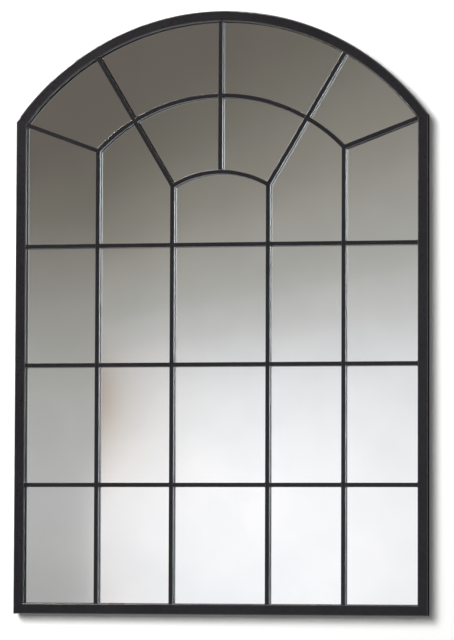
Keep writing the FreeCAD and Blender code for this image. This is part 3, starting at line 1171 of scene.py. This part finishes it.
def level_square(half: float) -> list[Vector]:
    """The corners, in order, of a level square about its origin, from half its side."""
    return [Vector((x * half, y * half, 0)) for x, y in ((-1, -1), (1, -1), (1, 1), (-1, 1))]


def stage_plane(name: str, corners: Sequence[Vector], origin: Vector, sights: Sequence[Sight],
                material: Material) -> Object:
    """Set up a flat stage piece.

    Args:
        name: its name.
        corners: its corners about its origin, in order.
        origin: where it stands.
        sights: the rays that see it.
        material: what it looks like.

    Returns:
        The stage piece.
    """
    work = bmesh.new()
    work.faces.new([work.verts.new(corner) for corner in corners])
    mesh = bpy.data.meshes.new(name)
    work.to_mesh(mesh)
    work.free()
    mesh.materials.append(material)
    made = bpy.data.objects.new(name, mesh)
    made.location = origin
    bpy.context.scene.collection.objects.link(made)
    for sight in Sight:
        setattr(made, sight.value, sight in sights)
    return made


@dataclass(frozen=True)
class Softbox:
    """A square soft lamp that no mirror shows, with its side in metres and its power in watts."""

    name: str
    size: float
    power: float
    place: Triple

    def hang(self, aim: Vector) -> None:
        """Hang the lamp.

        Args:
            aim: the point that it faces.
        """
        light = bpy.data.lights.new(self.name, "AREA")
        light.shape = "SQUARE"
        light.size = self.size
        light.energy = self.power
        made = bpy.data.objects.new(self.name, light)
        made.location = self.place
        made.rotation_mode = "QUATERNION"
        made.rotation_quaternion = (aim - Vector(self.place)).to_track_quat("-Z", "Y")
        for sight in (Sight.CAMERA, Sight.GLOSSY, Sight.TRANSMISSION):
            setattr(made, sight.value, False)
        bpy.context.scene.collection.objects.link(made)


@dataclass
class Room:
    """The white wall, the pale floor, the flats, the lamps and the sky of the studio."""

    outline: Outline
    wall_size: float = 5.0
    wall_gap_mm: float = 0.4
    wall_paint: StageColour = StageColour("white_wall_paint", "#f6f6f5", lift=0.05, one_sided=True)
    floor_drop: float = 0.55
    floor_size: float = 30.0
    floor_paint: StageColour = StageColour("pale_floor_paint", "#e4e4e2", lift=0.35)
    flat_heights: Pair = (-0.6, 3.2)
    key: Softbox = Softbox("key_softbox", 5.0, 522.0, (-2.85, -5.3, 2.4))
    corner: Softbox = Softbox("corner_softbox", 2.6, 320.0, (-3.6, -6.0, 3.2))
    back: Softbox = Softbox("back_softbox", 2.5, 110.0, (-1.6, 3.6, 1.6))
    glint_size: float = 1.6
    glint_cloth: PlainGlow = PlainGlow("lamp_diffuser_cloth", strength=48.0)
    glint_place: Triple = (-2.1, -1.7, 1.7)
    flag_width: float = 0.09
    flag_gap: float = 0.008
    # Only shiny faces see this black sheet beside the frame: painted shade that stands in for the wall's shadow in
    # their reflections.
    wall_shade_flag_cloth: PlainGlow = PlainGlow("black_wall_shade_cloth", strength=0.0)
    ambient: float = 0.15
    behind: float = 0.7
    behind_from: float = 0.5

    def sky(self) -> None:
        """White to the camera and to shiny faces in front of the wall, and a soft even light for the rest."""
        world = bpy.data.worlds.new("studio")
        bpy.context.scene.world = world
        world.use_nodes = True
        tree = world.node_tree
        tree.nodes.clear()
        ray = add_node(tree, "LightPath").outputs
        way = add_node(tree, "SeparateXYZ", {0: add_node(tree, "TexCoord").outputs["Generated"]})
        dim = add_node(tree, "MapRange", {"Value": way.outputs["Y"], "From Max": self.behind_from,
                                          "To Min": 1.0, "To Max": self.behind})
        shiny = add_node(tree, "Math", {0: ray["Is Glossy Ray"], 1: ray["Is Transmission Ray"]},
                         operation="MAXIMUM")
        level = add_node(tree, "Mix", {"Factor": shiny, "A": self.ambient, "B": dim}, data_type="FLOAT")
        seen = add_node(tree, "Mix", {"Factor": ray["Is Camera Ray"], "A": level, "B": 1.0},
                        data_type="FLOAT")
        plain = add_node(tree, "Background", {"Strength": seen, "Color": WHITE})
        add_node(tree, "OutputWorld", {"Surface": plain})

    def surfaces(self) -> None:
        """Set up the wall, the floor and the flats."""
        base = self.outline.base
        floor = base - self.floor_drop
        shiny = (Sight.GLOSSY, Sight.TRANSMISSION)
        stage_plane("white_wall", upright((-self.wall_size, self.wall_size), (floor, self.wall_size)),
                    Vector((0, self.wall_gap_mm * MM, 0)), (Sight.CAMERA,), self.wall_paint.material())
        stage_plane("pale_floor", level_square(self.floor_size), Vector((0, 0, floor)),
                    (Sight.CAMERA, *shiny), self.floor_paint.material())
        for flat in (StudioFlats(), WindowFlat()):
            stage_plane(flat.name, upright(flat.span, self.flat_heights), Vector((0, -flat.distance, base)),
                        shiny, flat.material())

    def cards(self, middle: Vector) -> None:
        """Set a black flag beside the mirror, which only shiny faces see, as painted shade for the wall's shadow
        in their reflections, and a bright cloth that only glints on its edges.

        Args:
            middle: the middle of the mirror, which the cloth faces.
        """
        right, top = CAD_BOX[1].x, CAD_BOX[1].z
        # A black sheet behind the wall's face, beside the frame's right side: painted shade for the shadowed wall
        # that shiny faces reflect.
        stage_plane("wall_shade_flag", upright((0, self.flag_width), (self.outline.base, top)),
                    Vector((right, self.flag_gap, 0)), (Sight.GLOSSY,), self.wall_shade_flag_cloth.material())
        card = stage_plane("glint_card", level_square(self.glint_size / 2), Vector(self.glint_place),
                           (Sight.GLOSSY,), self.glint_cloth.material())
        card.rotation_mode = "QUATERNION"
        card.rotation_quaternion = (middle - card.location).to_track_quat("Z", "Y")

    def build(self) -> None:
        """Set the stage and light it."""
        middle = (CAD_BOX[0] + CAD_BOX[1]) / 2
        self.surfaces()
        self.cards(middle)
        for lamp in (self.key, self.corner):
            lamp.hang(Vector((lamp.place[0], 0.0, lamp.place[2])))
        self.back.hang(middle)
        self.sky()


@dataclass
class PhotoCamera:
    """The camera, where the photograph was taken from."""

    place: Triple = (1.39227, -7.26373, -0.75039)
    yaw: float = 0.1881
    pitch: float = 0.0606
    roll: float = -0.0035
    focal_px: float = 3881.56
    image_height_px: float = 640.0
    sensor_mm: float = 36.0
    sight_limit: float = 100.0

    def build(self) -> None:
        """Place the camera and make it the scene's."""
        data = bpy.data.cameras.new("photo_camera")
        data.sensor_width = self.sensor_mm
        data.lens = self.focal_px * self.sensor_mm / self.image_height_px
        data.clip_end = self.sight_limit
        camera = bpy.data.objects.new("photo_camera", data)
        turn = (Matrix.Rotation(self.yaw, 3, "Z") @ Matrix.Rotation(self.pitch, 3, "X")
                @ Matrix.Rotation(self.roll, 3, "Y") @ Matrix.Rotation(math.pi / 2, 3, "X"))
        camera.matrix_world = Matrix.Translation(self.place) @ turn.to_4x4()
        bpy.context.scene.collection.objects.link(camera)
        bpy.context.scene.camera = camera


def main() -> None:
    """Dress the mirror, build its fine pieces, and set its room, light and camera."""
    logging.basicConfig(level=logging.INFO, format="%(name)s %(message)s")
    outline = Outline()
    for assembly in (Glazing(outline), SteelGrille(outline), BackHardware()):
        assembly.dress()
        assembly.build()
    Room(outline).build()
    PhotoCamera().build()
    bpy.context.scene.view_settings.view_transform = "Standard"


if __name__ == "__main__":
    main()
